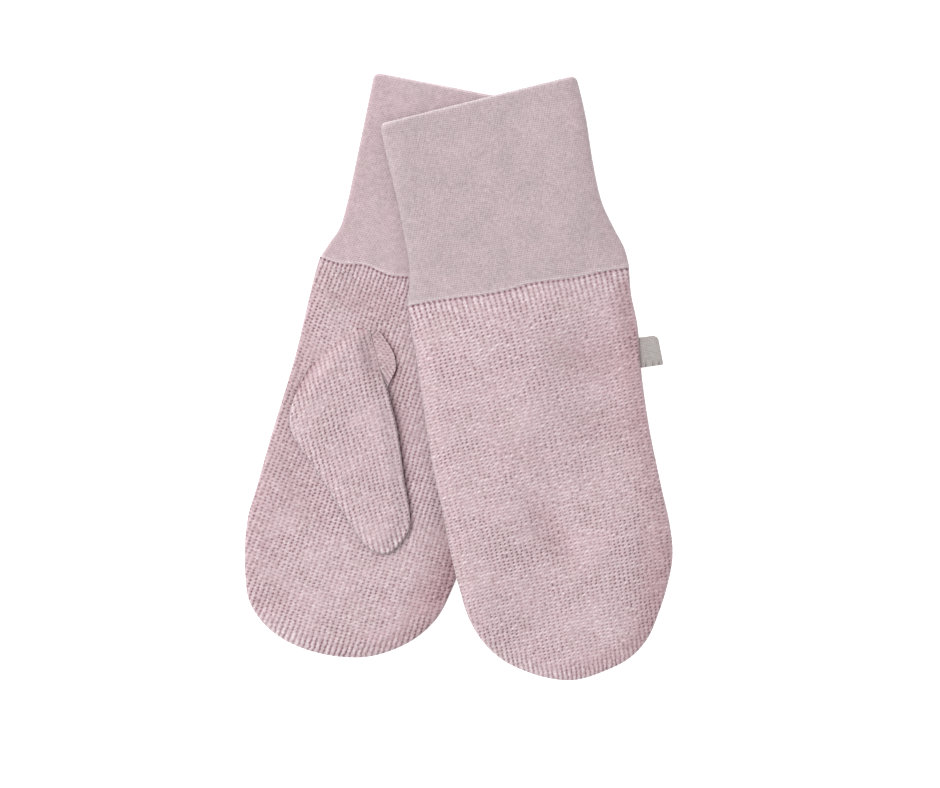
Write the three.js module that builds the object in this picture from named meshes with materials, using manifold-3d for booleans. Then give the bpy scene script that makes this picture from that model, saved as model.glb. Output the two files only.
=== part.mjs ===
import * as THREE from 'three';
import { mergeVertices } from 'three/addons/utils/BufferGeometryUtils.js';
import Module from 'manifold-3d';

const wasm = await Module();
wasm.setup();

// A pair of baby mittens laid flat, the left one lying on the right one. Sizes are in millimetres.
// Seen from above, the finger tips point down to -Y and X runs to the right. The pair rests on Z = 0.
// A mitten's own frame starts at the middle of its cuff's open edge: "at" is the distance from there
// towards the finger tips, and "left" and "right" are how far each side is from the middle line.

// Cloth thickness, the gap between two pieces, and the gap where one is draped over another's edge
const BODY_WALL = 2.0;
const THUMB_WALL = 1.5;
const CUFF_WALL = 1.8;
const LABEL_THICK = 1.0;
const GAP = 0.3;
const DRAPE_GAP = 0.6;

// Roundings: at a sewn side, at the seam between cuff and hand, and at a cuff's corners
const SIDE_ROUND = 2.2;
const SEAM_ROUND = 1.2;
const CORNER_ROUND = 2.6;

// Cloth that lies over an edge stays up for a little way past it, then comes down over this distance
const DRAPE_START = 1.5;
const DRAPE = 34;
const THUMB_DRAPE = 9;

// How finely the cloth is divided: distances from a side and from a seam, then even steps
const SIDE_STEPS = [0, 0.4, 1.2, 2.4];
const SEAM_STEPS = [0, 0.4, 1.2];
const INNER_STEPS = 5;
const BODY_ROWS = 22;
const THUMB_ROWS = 18;
const CUFF_ROWS = 7;
const CURVE_SAMPLES = 240;

// The ribs of a pattern fan out from a point this share of its width inside a rounded end, and turn
// towards it the faster, the higher the power
const FAN_INSET = 0.4;
const FAN_POWER = 4;

// Cloth at a seam or a folded end starts as thick as it would be this far in
const END_START = 0.25;

// Where the mittens lie, and how they are turned
const RIGHT_PLACE = { x: 4.7, y: 99.1, turn: -12.0 };
const LEFT_PLACE = { x: 7.2, y: 94.9, turn: 8.34 };
const RIGHT_THUMB_PLACE = { at: 90.0, x: -24.5, turn: 22.7 };
const LEFT_THUMB_PLACE = { at: 90.0, x: -18.5, turn: 22.7 };

// Sections of the hands, from the cuff seam to the finger tip. "tilt" is how much nearer to the cuff's
// open edge the right end of a section is than its left end.
const RIGHT_BODY = [
  { at: 67.9, left: 40.2, right: 37.4, tilt: -2.0 },
  { at: 75.0, left: 40.8, right: 37.3, tilt: -1.0 },
  { at: 88.0, left: 41.1, right: 36.9, tilt: 0 },
  { at: 103.0, left: 41.5, right: 36.2, tilt: 0 },
  { at: 118.0, left: 42.7, right: 35.3, tilt: 0 },
  { at: 134.0, left: 44.1, right: 34.0, tilt: 0 },
  { at: 150.0, left: 45.1, right: 32.2, tilt: 0 },
  { at: 161.0, left: 46.0, right: 30.8, tilt: 0 },
  { at: 172.0, left: 44.8, right: 29.0, tilt: 0 },
  { at: 181.5, left: 42.6, right: 26.4, tilt: 0 },
  { at: 189.5, left: 39.6, right: 21.2, tilt: 0 },
  { at: 196.0, left: 33.6, right: 13.6, tilt: 0 },
  { at: 200.8, left: 24.0, right: 3.8, tilt: 0 },
  { at: 202.7, left: 10.5, right: -10.5, tilt: 0 },
];
const LEFT_BODY = [
  { at: 65.2, left: 35.2, right: 43.6, tilt: 2.2 },
  { at: 73.0, left: 35.0, right: 43.0, tilt: 1.0 },
  { at: 84.0, left: 34.6, right: 43.6, tilt: 0 },
  { at: 100.0, left: 34.6, right: 42.6, tilt: 0 },
  { at: 120.0, left: 34.4, right: 42.5, tilt: 0 },
  { at: 140.0, left: 33.2, right: 43.6, tilt: 0 },
  { at: 156.0, left: 32.4, right: 44.7, tilt: 0 },
  { at: 166.0, left: 31.4, right: 44.0, tilt: 0 },
  { at: 176.0, left: 29.9, right: 40.6, tilt: 0 },
  { at: 185.0, left: 26.4, right: 36.2, tilt: 0 },
  { at: 193.0, left: 20.2, right: 31.2, tilt: 0 },
  { at: 199.0, left: 11.2, right: 23.8, tilt: 0 },
  { at: 202.6, left: 2.4, right: 12.6, tilt: 0 },
  { at: 203.7, left: -4.5, right: 4.5, tilt: 0 },
];

// Sections of the cuffs, from the open edge to the seam
const RIGHT_CUFF = [
  { at: -0.8, left: 35.0, right: 35.6, tilt: 1.2 },
  { at: 15.0, left: 34.9, right: 35.5, tilt: 0.6 },
  { at: 32.0, left: 34.8, right: 35.4, tilt: 0 },
  { at: 48.0, left: 34.9, right: 35.6, tilt: 0 },
  { at: 56.0, left: 35.6, right: 36.0, tilt: -0.6 },
  { at: 62.0, left: 38.0, right: 36.6, tilt: -1.2 },
  { at: 67.6, left: 40.2, right: 37.2, tilt: -2.0 },
];
const LEFT_CUFF = [
  { at: -2.0, left: 35.4, right: 35.0, tilt: 7.0 },
  { at: 12.0, left: 34.5, right: 36.2, tilt: 5.0 },
  { at: 28.0, left: 33.2, right: 36.4, tilt: 3.0 },
  { at: 41.0, left: 32.6, right: 37.5, tilt: 2.4 },
  { at: 50.0, left: 32.3, right: 40.2, tilt: 2.2 },
  { at: 58.0, left: 33.4, right: 43.0, tilt: 2.2 },
  { at: 64.9, left: 35.1, right: 43.8, tilt: 2.2 },
];

// Sections of the two halves of a thumb, in the thumb's own frame. The inner half is the one against
// the palm. Beside the thumb's root it shows as a small gusset, where the outer half folds over.
const THUMB_OUTER = [
  { at: -1.0, left: 1.0, right: -1.0, tilt: 0 },
  { at: 1.2, left: 7.4, right: 6.2, tilt: 0 },
  { at: 6.0, left: 12.2, right: 7.0, tilt: 0 },
  { at: 14.0, left: 19.8, right: 7.6, tilt: 0 },
  { at: 22.0, left: 24.8, right: 9.0, tilt: 0 },
  { at: 29.0, left: 26.8, right: 9.5, tilt: 0 },
  { at: 36.5, left: 24.8, right: 9.8, tilt: 0 },
  { at: 45.0, left: 20.7, right: 9.5, tilt: 0 },
  { at: 55.0, left: 16.9, right: 9.0, tilt: 0 },
  { at: 65.0, left: 13.0, right: 8.8, tilt: 0 },
  { at: 71.5, left: 10.2, right: 7.6, tilt: 0 },
  { at: 76.5, left: 7.2, right: 3.2, tilt: 0 },
  { at: 79.0, left: 1.8, right: -1.8, tilt: 0 },
];
const THUMB_INNER = [
  { at: 2.2, left: -9.4, right: 9.4, tilt: 0 },
  { at: 6.0, left: -4.0, right: 11.9, tilt: 0 },
  { at: 11.0, left: 4.0, right: 13.5, tilt: 0 },
  { at: 16.0, left: 15.0, right: 13.2, tilt: 0 },
  { at: 22.0, left: 23.2, right: 9.3, tilt: 0 },
  { at: 29.0, left: 26.4, right: 9.1, tilt: 0 },
  { at: 36.5, left: 24.5, right: 9.4, tilt: 0 },
  { at: 45.0, left: 20.4, right: 9.2, tilt: 0 },
  { at: 55.0, left: 16.6, right: 8.7, tilt: 0 },
  { at: 65.0, left: 12.7, right: 8.5, tilt: 0 },
  { at: 71.5, left: 9.9, right: 7.3, tilt: 0 },
  { at: 76.3, left: 6.9, right: 3.0, tilt: 0 },
  { at: 78.7, left: 1.8, right: -1.8, tilt: 0 },
];

// The opening in the palm that the thumb is sewn round, in the thumb's frame
const THUMB_HOLE = { at: 10.5, x: -6.5, long: 15, wide: 7.5, turn: -53 };

// Soft troughs pressed into the upper faces, each with its middle, direction from the mitten's axis,
// length, width and depth
const RIGHT_PALM_FOLDS = [
  { at: 149, x: -31, turn: 38, length: 46, width: 15, depth: 0.4 },
  { at: 84, x: -22, turn: 86, length: 34, width: 11, depth: 0.35 },
  { at: 177, x: 20, turn: -35, length: 34, width: 14, depth: 0.4 },
];
const LEFT_BACK_FOLDS = [
  { at: 152, x: 7, turn: 14, length: 58, width: 16, depth: 0.45 },
  { at: 90, x: 28, turn: 72, length: 30, width: 13, depth: 0.4 },
  { at: 118, x: 27, turn: 84, length: 30, width: 11, depth: 0.25 },
  { at: 166, x: 34, turn: -8, length: 46, width: 12, depth: 0.35 },
];
const LEFT_CUFF_FOLDS = [
  { at: 33, x: 10, turn: 64, length: 46, width: 20, depth: 0.3 },
  { at: 52, x: 22, turn: 48, length: 30, width: 14, depth: 0.25 },
];
const NO_FOLDS = [];

// The folded tab sewn into the left mitten's side seam
const LABEL = { from: 88.4, to: 99.0, x: 43.2, reach: 6.9, skew: 0.5, corner: 1.2, bevel: 0.2 };

// Colours of the yarns
const BODY_COLOUR = 0xc9adb4;
const CUFF_COLOUR = 0xc5b3b8;
const LABEL_COLOUR = 0xb8b2ae;

const BODY_THICK = 2 * BODY_WALL + GAP;
const CUFF_THICK = 2 * CUFF_WALL + GAP;
const PALM_TOP = BODY_THICK + GAP;

const radians = THREE.MathUtils.degToRad;
const ease = (t) => THREE.MathUtils.smoothstep(t, 0, 1);

// A quarter round: 0 at an edge, 1 once the distance from it reaches the radius
function quarterRound(distance, radius) {
  const rest = 1 - Math.min(distance / radius, 1);
  return Math.sqrt(1 - rest * rest);
}

// A section's end on one side (-1 left, 1 right), as a point of the flat pattern
function sectionEnd(row, side) {
  const x = side < 0 ? -row.left : row.right;
  const at = row.at - (side * row.tilt) / 2;
  return new THREE.Vector3(x, -at, 0);
}

// Points along part of a curve, at the first steps and then evenly spaced
function spacedPoints(curve, from, to, firstSteps, count) {
  const points = [];
  const lengths = [0];
  for (let k = 0; k <= CURVE_SAMPLES; k++) {
    points.push(curve.getPoint(from + ((to - from) * k) / CURVE_SAMPLES));
    if (k > 0) lengths.push(lengths[k - 1] + points[k].distanceTo(points[k - 1]));
  }
  let k = 0;
  return steps(lengths[CURVE_SAMPLES], firstSteps, count).map((wanted) => {
    while (k < CURVE_SAMPLES - 1 && lengths[k + 1] < wanted) k++;
    const share = (wanted - lengths[k]) / (lengths[k + 1] - lengths[k]);
    return points[k].clone().lerp(points[k + 1], share);
  });
}

// Distances from 0 to a length: the first steps, then even ones
function steps(length, firstSteps, count) {
  const start = firstSteps[firstSteps.length - 1];
  const all = [...firstSteps];
  for (let k = 1; k <= count; k++) all.push(start + ((length - start) * k) / count);
  return all;
}

// The left and right sides of a piece that comes to a point at its last section. Its first section is
// a straight seam, or a point too where pointed is true.
function sidesOf(sections, rows, pointed) {
  const left = sections.map((row) => sectionEnd(row, -1));
  const right = sections.map((row) => sectionEnd(row, 1));
  const back = right.slice(pointed ? 1 : 0, -1).reverse();
  const loop = [...left, ...back];
  const curve = new THREE.CatmullRomCurve3(loop, pointed, 'centripetal');
  const tip = (sections.length - 1) / (pointed ? loop.length : loop.length - 1);
  const firstSteps = pointed ? [0] : SEAM_STEPS;
  return {
    left: spacedPoints(curve, 0, tip, firstSteps, rows),
    right: spacedPoints(curve, 1, tip, firstSteps, rows),
    pointed,
  };
}

// The outline of a piece, all round
function outlineOf(sides) {
  return [...sides.left, ...sides.right.slice().reverse()];
}

function middleOf(a, b) {
  return a.clone().add(b).multiplyScalar(0.5);
}

// The flat pattern of a piece as rows of points. Each rib runs from one side in to the spine and out
// to the other side, and the ribs fan out round the rounded ends.
function ribs(sides) {
  const last = sides.left.length - 1;
  const half = Math.floor(last / 2);
  const start = middleOf(sides.left[0], sides.right[0]);
  const axis = sides.left[last].clone().sub(start);
  const reach = axis.length();
  axis.normalize();
  const inset = FAN_INSET * sides.left[half].distanceTo(sides.right[half]);
  return sides.left.map((leftEnd, j) => {
    const middle = middleOf(leftEnd, sides.right[j]);
    const share = THREE.MathUtils.clamp(middle.clone().sub(start).dot(axis) / reach, 0, 1);
    const fromTip = share ** FAN_POWER;
    const fromStart = sides.pointed ? (1 - share) ** FAN_POWER : 0;
    middle.addScaledVector(axis, inset * (fromStart - fromTip));
    return rib(leftEnd, middle, sides.right[j], sides.pointed ? Infinity : share * reach);
  });
}

// Points from the left end over the middle to the right end, closer together near the ends. Each has
// its distance from the nearer side and from the nearer seam or open end.
function rib(leftEnd, middle, rightEnd, fromEnd) {
  const half = (sideEnd) => {
    const long = sideEnd.distanceTo(middle);
    const scale = Math.min(1, long / (2 * SIDE_STEPS[SIDE_STEPS.length - 1]));
    const near = SIDE_STEPS.map((step) => step * scale);
    return steps(long, near, INNER_STEPS).map((fromSide) => {
      const point = sideEnd.clone().lerp(middle, fromSide / long);
      return { x: point.x, y: point.y, fromSide, fromEnd };
    });
  };
  return [...half(leftEnd), ...half(rightEnd).reverse().slice(1)];
}

// How deep the soft troughs are at a point of the flat pattern
function foldDepth(folds, x, y) {
  let depth = 0;
  for (const fold of folds) {
    const turn = radians(fold.turn);
    const dx = x - fold.x;
    const dy = -y - fold.at;
    const along = (dx * Math.sin(turn) + dy * Math.cos(turn)) / (fold.length / 2);
    const across = (dx * Math.cos(turn) - dy * Math.sin(turn)) / (fold.width / 2);
    const off = Math.min(1, along * along + across * across);
    depth += fold.depth * (1 - off) ** 2;
  }
  return depth;
}

// How far a point is inside an outline; negative outside it
function insideBy(outline, x, y) {
  let nearest = Infinity;
  let inside = false;
  for (let k = 0, last = outline.length - 1; k < outline.length; last = k++) {
    const a = outline[last];
    const b = outline[k];
    const abx = b.x - a.x;
    const aby = b.y - a.y;
    const length2 = abx * abx + aby * aby;
    const along = length2 > 0 ? ((x - a.x) * abx + (y - a.y) * aby) / length2 : 0;
    const t = Math.min(1, Math.max(0, along));
    nearest = Math.min(nearest, Math.hypot(x - a.x - t * abx, y - a.y - t * aby));
    if (a.y > y !== b.y > y && x < a.x + ((y - a.y) * abx) / aby) inside = !inside;
  }
  return inside ? nearest : -nearest;
}

// How much a layer beneath lifts the cloth at a point: all its height over the layer, easing off past it
function liftOver(layer, x, y) {
  const past = -insideBy(layer.outline, x, y) - DRAPE_START;
  return layer.height * (1 - ease(past / layer.drape));
}

function liftOf(layers, x, y) {
  return layers.reduce((sum, layer) => sum + liftOver(layer, x, y), 0);
}

// Two triangles for each cell between two rows of points. Flipped, they face the other way and are cut
// along the same diagonal, so that two faces one above the other stay parallel.
function stitch(triangles, rowA, rowB, flip = false) {
  for (let i = 0; i < rowA.length - 1; i++) {
    const cell = [
      [rowA[i], rowB[i], rowB[i + 1]],
      [rowA[i], rowB[i + 1], rowA[i + 1]],
    ];
    triangles.push(...(flip ? cell.map((corners) => corners.reverse()) : cell));
  }
}

function stitchRows(triangles, rows, flip) {
  for (let j = 0; j < rows.length - 1; j++) stitch(triangles, rows[j], rows[j + 1], flip);
}

// A closed geometry from triangles of points, with shared corners merged
function closedGeometry(triangles) {
  const corners = new Float32Array(triangles.flat().flatMap((p) => [p.x, p.y, p.z]));
  const loose = new THREE.BufferGeometry();
  loose.setAttribute('position', new THREE.BufferAttribute(corners, 3));
  const merged = mergeVertices(loose, 1e-3);
  const index = merged.getIndex().array;
  const kept = [];
  for (let k = 0; k < index.length; k += 3) {
    const [a, b, c] = [index[k], index[k + 1], index[k + 2]];
    if (a !== b && b !== c && c !== a) kept.push(a, b, c);
  }
  merged.setIndex(kept);
  merged.computeVertexNormals();
  return merged;
}

// The rows of points with heights from a function of the point
function raise(rows, height) {
  return rows.map((row) => row.map((p) => ({ x: p.x, y: p.y, z: height(p) })));
}

// The share of its thickness that cloth has near a seam or an open end
function endRound(p) {
  return quarterRound(p.fromEnd + END_START, SEAM_ROUND);
}

// How much the soft troughs take off an upper face, none of it at the rim
function trough(folds, p) {
  return foldDepth(folds, p.x, p.y) * quarterRound(p.fromSide, 2 * SIDE_ROUND);
}

// A panel: one layer of cloth with a rounded rim, its round side up or down
function panel({ rows, base, wall, roundUp, folds }) {
  const full = (p) => wall * quarterRound(p.fromSide, SIDE_ROUND) * endRound(p);
  const lower = raise(rows, (p) => (roundUp ? base(p) : base(p) + wall - full(p)));
  const upper = raise(rows, (p) => (roundUp ? base(p) + full(p) - trough(folds, p) : base(p) + wall));
  const triangles = [];
  stitchRows(triangles, upper, false);
  stitchRows(triangles, lower, true);
  stitch(triangles, lower[0], upper[0]);
  return closedGeometry(triangles);
}

// A cuff: a flattened ring of cloth, open at both ends, with a slit between its two layers
function cuff({ sections, base, folds }) {
  const leftCurve = new THREE.CatmullRomCurve3(sections.map((row) => sectionEnd(row, -1)));
  const rightCurve = new THREE.CatmullRomCurve3(sections.map((row) => sectionEnd(row, 1)));
  const long = sections[sections.length - 1].at - sections[0].at;
  const beforeSeam = SEAM_STEPS.map((step) => long - step).reverse();
  const even = steps(beforeSeam[0], [...SEAM_STEPS, CORNER_ROUND], CUFF_ROWS).slice(0, -1);
  const stations = [...even, ...beforeSeam];
  const inset = (station) => CORNER_ROUND * (1 - quarterRound(station + END_START, CORNER_ROUND));
  const rowsInside = (wall) =>
    stations.map((station) => {
      const leftEnd = leftCurve.getPointAt(station / long);
      const rightEnd = rightCurve.getPointAt(station / long);
      const middle = middleOf(leftEnd, rightEnd);
      const share = (wall + inset(station)) / leftEnd.distanceTo(middle);
      leftEnd.lerp(middle, share);
      rightEnd.lerp(middle, share);
      return rib(leftEnd, middle, rightEnd, Math.min(station, long - station));
    });
  const outer = rowsInside(0);
  const inner = rowsInside(CUFF_WALL);
  const half = (p) => (GAP / 2 + CUFF_WALL * endRound(p)) * quarterRound(p.fromSide, CUFF_THICK / 2);
  const slit = (p) => (GAP / 2) * quarterRound(p.fromSide, GAP / 2);
  const level = (p) => base(p) + CUFF_THICK / 2;
  const outerTop = raise(outer, (p) => level(p) + half(p) - trough(folds, p));
  const outerBottom = raise(outer, (p) => level(p) - half(p));
  const innerTop = raise(inner, (p) => level(p) + slit(p));
  const innerBottom = raise(inner, (p) => level(p) - slit(p));
  const triangles = [];
  const end = stations.length - 1;
  stitchRows(triangles, outerTop, false);
  stitchRows(triangles, outerBottom, true);
  stitchRows(triangles, innerTop, true);
  stitchRows(triangles, innerBottom, false);
  stitch(triangles, innerTop[0], outerTop[0]);
  stitch(triangles, outerBottom[0], innerBottom[0]);
  stitch(triangles, outerTop[end], innerTop[end]);
  stitch(triangles, innerBottom[end], outerBottom[end]);
  return closedGeometry(triangles);
}

// A solid for cutting, and the geometry that a cut leaves
function solidOf(geometry) {
  const bare = new THREE.BufferGeometry();
  bare.setAttribute('position', geometry.getAttribute('position'));
  if (geometry.getIndex()) bare.setIndex(geometry.getIndex());
  const merged = mergeVertices(bare, 1e-3);
  const vertProperties = new Float32Array(merged.getAttribute('position').array);
  const triVerts = new Uint32Array(merged.getIndex().array);
  return new wasm.Manifold(new wasm.Mesh({ numProp: 3, vertProperties, triVerts }));
}

function cutFrom(geometry, tool) {
  const mesh = solidOf(geometry).subtract(solidOf(tool)).getMesh();
  const left = new THREE.BufferGeometry();
  left.setAttribute('position', new THREE.BufferAttribute(new Float32Array(mesh.vertProperties), 3));
  left.setIndex([...mesh.triVerts]);
  left.computeVertexNormals();
  return left;
}

// The prism that opens the palm to the thumb, in the mitten's frame
function thumbOpening(thumb) {
  const depth = 40;
  const shape = new THREE.Shape();
  shape.absellipse(0, 0, THUMB_HOLE.wide / 2, THUMB_HOLE.long / 2, 0, 2 * Math.PI);
  const prism = new THREE.ExtrudeGeometry(shape, { depth, bevelEnabled: false, curveSegments: 8 });
  prism.translate(0, 0, -depth / 2);
  prism.rotateZ(radians(THUMB_HOLE.turn));
  prism.translate(THUMB_HOLE.x, -THUMB_HOLE.at, 0);
  prism.applyMatrix4(thumb.matrix);
  return prism;
}

function cloth(colour) {
  return new THREE.MeshStandardMaterial({ color: colour, roughness: 0.95, metalness: 0 });
}

function piece(name, geometry, colour) {
  const mesh = new THREE.Mesh(geometry, cloth(colour));
  mesh.name = name;
  return mesh;
}

// A group at its place on the surface
function placed({ x, y, turn }) {
  const group = new THREE.Group();
  group.position.set(x, y, 0);
  group.rotation.z = radians(turn);
  group.updateMatrix();
  return group;
}

// The thumb's frame within a mitten, and its two halves' patterns there
function thumbPatterns(thumb) {
  const pattern = (sections) => {
    const sides = sidesOf(sections, THUMB_ROWS, true);
    const inMitten = (points) => points.map((p) => p.clone().applyMatrix4(thumb.matrix));
    return { rows: ribs(sides), outline: inMitten(outlineOf(sides)) };
  };
  return { outer: pattern(THUMB_OUTER), inner: pattern(THUMB_INNER) };
}

// One mitten: the hand's two panels, the thumb's two halves and the cuff. The palm is up or down, and
// all of it lies over the layers given as "under".
function mitten(hand, { place, thumbPlace, body, cuffSections, palmUp, under, upperFolds, cuffFolds }) {
  const group = placed(place);
  const thumb = placed({ x: thumbPlace.x, y: -thumbPlace.at, turn: thumbPlace.turn });
  const { outer, inner } = thumbPatterns(thumb);
  const toPair = (p) => new THREE.Vector3(p.x, p.y, 0).applyMatrix4(group.matrix);
  const fromThumb = (p) => new THREE.Vector3(p.x, p.y, 0).applyMatrix4(thumb.matrix);
  const ground = (p) => {
    const q = toPair(p);
    return liftOf(under, q.x, q.y);
  };

  const half = (pattern) => ({
    outline: pattern.outline,
    height: THUMB_WALL + DRAPE_GAP,
    drape: palmUp ? THUMB_DRAPE : DRAPE,
  });
  const lowerHalf = palmUp ? half(inner) : half(outer);
  const upperHalf = palmUp ? half(outer) : half(inner);
  const beneathHand = palmUp ? [] : [lowerHalf, upperHalf];
  const thumbFloor = palmUp ? PALM_TOP : 0;
  const handBase = (p) => ground(p) + liftOf(beneathHand, p.x, p.y);

  const sides = sidesOf(body, BODY_ROWS, false);
  const rows = ribs(sides);
  const upperBase = (p) => handBase(p) + BODY_WALL + GAP;
  const lower = panel({ rows, base: handBase, wall: BODY_WALL, roundUp: false, folds: NO_FOLDS });
  const upper = panel({ rows, base: upperBase, wall: BODY_WALL, roundUp: true, folds: upperFolds });
  const opening = thumbOpening(thumb);
  const palm = cutFrom(palmUp ? upper : lower, opening);
  const back = palmUp ? lower : upper;

  const thumbHalf = (pattern, isUpper) =>
    panel({
      rows: pattern.rows,
      base: (p) => {
        const q = fromThumb(p);
        return ground(q) + thumbFloor + (isUpper ? liftOf([lowerHalf], q.x, q.y) : 0);
      },
      wall: THUMB_WALL,
      roundUp: isUpper,
      folds: NO_FOLDS,
    });

  thumb.add(
    piece(`${hand}_thumb_outer`, thumbHalf(outer, palmUp), BODY_COLOUR),
    piece(`${hand}_thumb_inner`, thumbHalf(inner, !palmUp), BODY_COLOUR),
  );
  group.add(
    piece(`${hand}_palm`, palm, BODY_COLOUR),
    piece(`${hand}_back`, back, BODY_COLOUR),
    piece(`${hand}_cuff`, cuff({ sections: cuffSections, base: handBase, folds: cuffFolds }), CUFF_COLOUR),
    thumb,
  );
  const cuffRows = cuffSections.slice(0, -1);
  const outline = [
    ...cuffRows.map((row) => sectionEnd(row, -1)),
    ...outlineOf(sides),
    ...cuffRows.reverse().map((row) => sectionEnd(row, 1)),
  ].map(toPair);
  return { group, handBase, outline };
}

// The blank label, a short folded tape that stands out from the side seam
function label(handBase) {
  const shape = new THREE.Shape();
  const inner = LABEL.x + GAP;
  const outer = LABEL.x + LABEL.reach;
  shape.moveTo(inner, -LABEL.from);
  shape.lineTo(outer - LABEL.corner, -LABEL.from);
  shape.quadraticCurveTo(outer, -LABEL.from, outer, -LABEL.from - LABEL.corner);
  shape.lineTo(outer + LABEL.skew, -LABEL.to);
  shape.lineTo(inner - LABEL.skew, -LABEL.to);
  const tape = new THREE.ExtrudeGeometry(shape, {
    depth: LABEL_THICK - 2 * LABEL.bevel,
    bevelSize: LABEL.bevel,
    bevelThickness: LABEL.bevel,
    bevelOffset: -LABEL.bevel,
    bevelSegments: 1,
    curveSegments: 4,
  });
  const middle = handBase({ x: LABEL.x, y: -(LABEL.from + LABEL.to) / 2 });
  tape.translate(0, 0, middle + (BODY_THICK - LABEL_THICK) / 2 + LABEL.bevel);
  tape.deleteAttribute('normal');
  tape.deleteAttribute('uv');
  const whole = mergeVertices(tape, 1e-3);
  whole.computeVertexNormals();
  return piece('left_label', whole, LABEL_COLOUR);
}

const right = mitten('right', {
  place: RIGHT_PLACE,
  thumbPlace: RIGHT_THUMB_PLACE,
  body: RIGHT_BODY,
  cuffSections: RIGHT_CUFF,
  palmUp: true,
  under: [],
  upperFolds: RIGHT_PALM_FOLDS,
  cuffFolds: NO_FOLDS,
});
const rightMitten = { outline: right.outline, height: BODY_THICK + DRAPE_GAP, drape: DRAPE };
const left = mitten('left', {
  place: LEFT_PLACE,
  thumbPlace: LEFT_THUMB_PLACE,
  body: LEFT_BODY,
  cuffSections: LEFT_CUFF,
  palmUp: false,
  under: [rightMitten],
  upperFolds: LEFT_BACK_FOLDS,
  cuffFolds: LEFT_CUFF_FOLDS,
});
left.group.add(label(left.handBase));

// The pair, with its origin at the middle of the ground that it covers
const pair = new THREE.Group();
pair.add(right.group, left.group);
pair.updateMatrixWorld(true);
const box = new THREE.Box3().setFromObject(pair, true);
pair.position.set(-(box.min.x + box.max.x) / 2, -(box.min.y + box.max.y) / 2, -box.min.z);

export default pair;
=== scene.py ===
import math

import bmesh
import bpy
import numpy as np
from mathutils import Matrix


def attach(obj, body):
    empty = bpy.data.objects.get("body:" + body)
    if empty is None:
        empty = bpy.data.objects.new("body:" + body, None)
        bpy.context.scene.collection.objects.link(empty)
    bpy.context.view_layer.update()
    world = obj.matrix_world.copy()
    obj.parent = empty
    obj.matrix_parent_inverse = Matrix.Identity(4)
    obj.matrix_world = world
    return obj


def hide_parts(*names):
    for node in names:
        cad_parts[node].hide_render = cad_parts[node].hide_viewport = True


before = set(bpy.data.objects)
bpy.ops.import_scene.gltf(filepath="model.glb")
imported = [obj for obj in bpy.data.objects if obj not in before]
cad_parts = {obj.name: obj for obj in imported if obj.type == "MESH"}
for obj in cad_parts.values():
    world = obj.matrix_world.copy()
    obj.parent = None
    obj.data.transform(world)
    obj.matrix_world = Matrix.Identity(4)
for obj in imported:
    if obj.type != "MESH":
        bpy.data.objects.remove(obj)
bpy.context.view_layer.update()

# A pair of baby mittens laid flat, the left one lying on the right one. Sizes are in millimetres, and
# become metres where a mesh is made. A mitten's own frame starts at the middle of its cuff's open
# edge: "at" is the distance from there towards the finger tips, which point to -Y.

MM = 0.001

# Cloth thickness, the gap between two pieces, and the gap where one is draped over another's edge
BODY_WALL = 2.0
THUMB_WALL = 1.5
CUFF_WALL = 1.8
LABEL_THICK = 1.0
GAP = 0.3
DRAPE_GAP = 0.6
BODY_THICK = 2 * BODY_WALL + GAP
CUFF_THICK = 2 * CUFF_WALL + GAP
PALM_TOP = BODY_THICK + GAP

# Roundings: at a sewn side, at the seam between cuff and hand, and at a cuff's corners. A thumb stands
# free of the palm from this far below its top. An end starts a little way up its rounding.
SIDE_ROUND = 1.5
THUMB_ROUND = 0.6
THUMB_FREE = 13
SEAM_ROUND = 0.8
CORNER_ROUND = 2.6
END_START = 0.25

# How far a hand's cloth goes under its cuff, the rolled edge of the cuff there, and how far from the seam
# its waves are felt
SEAM_TUCK = 0.5
BEAD = 0.3
BEAD_MIDDLE = 0.7
BEAD_WIDTH = 0.5
SEAM_WAVE_REACH = 5

# How long the stretch is over which a thumb comes free of the palm, and how far in its top is flattened
THUMB_RISE = 8
THUMB_BLEND = 7

# Near its sides the soft cloth sinks towards what it lies on: how far in, and how much on each piece
SINK_REACH = 6.0
HAND_SINK = 1.2
CUFF_SINK = 0.5
THUMB_SINK = 1.6

# Cloth that lies over an edge stays up for a little way past it, then comes down over this distance
DRAPE_START = 1.5
DRAPE = 34
THUMB_DRAPE = 9

# Where the mittens lie, and how they are turned
RIGHT_PLACE = {"x": 4.7, "y": 99.1, "turn": -12.0}
LEFT_PLACE = {"x": 7.2, "y": 94.9, "turn": 8.34}
RIGHT_THUMB_PLACE = {"x": -24.5, "y": -90.0, "turn": 22.7}
LEFT_THUMB_PLACE = {"x": -18.5, "y": -90.0, "turn": 22.7}

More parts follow.
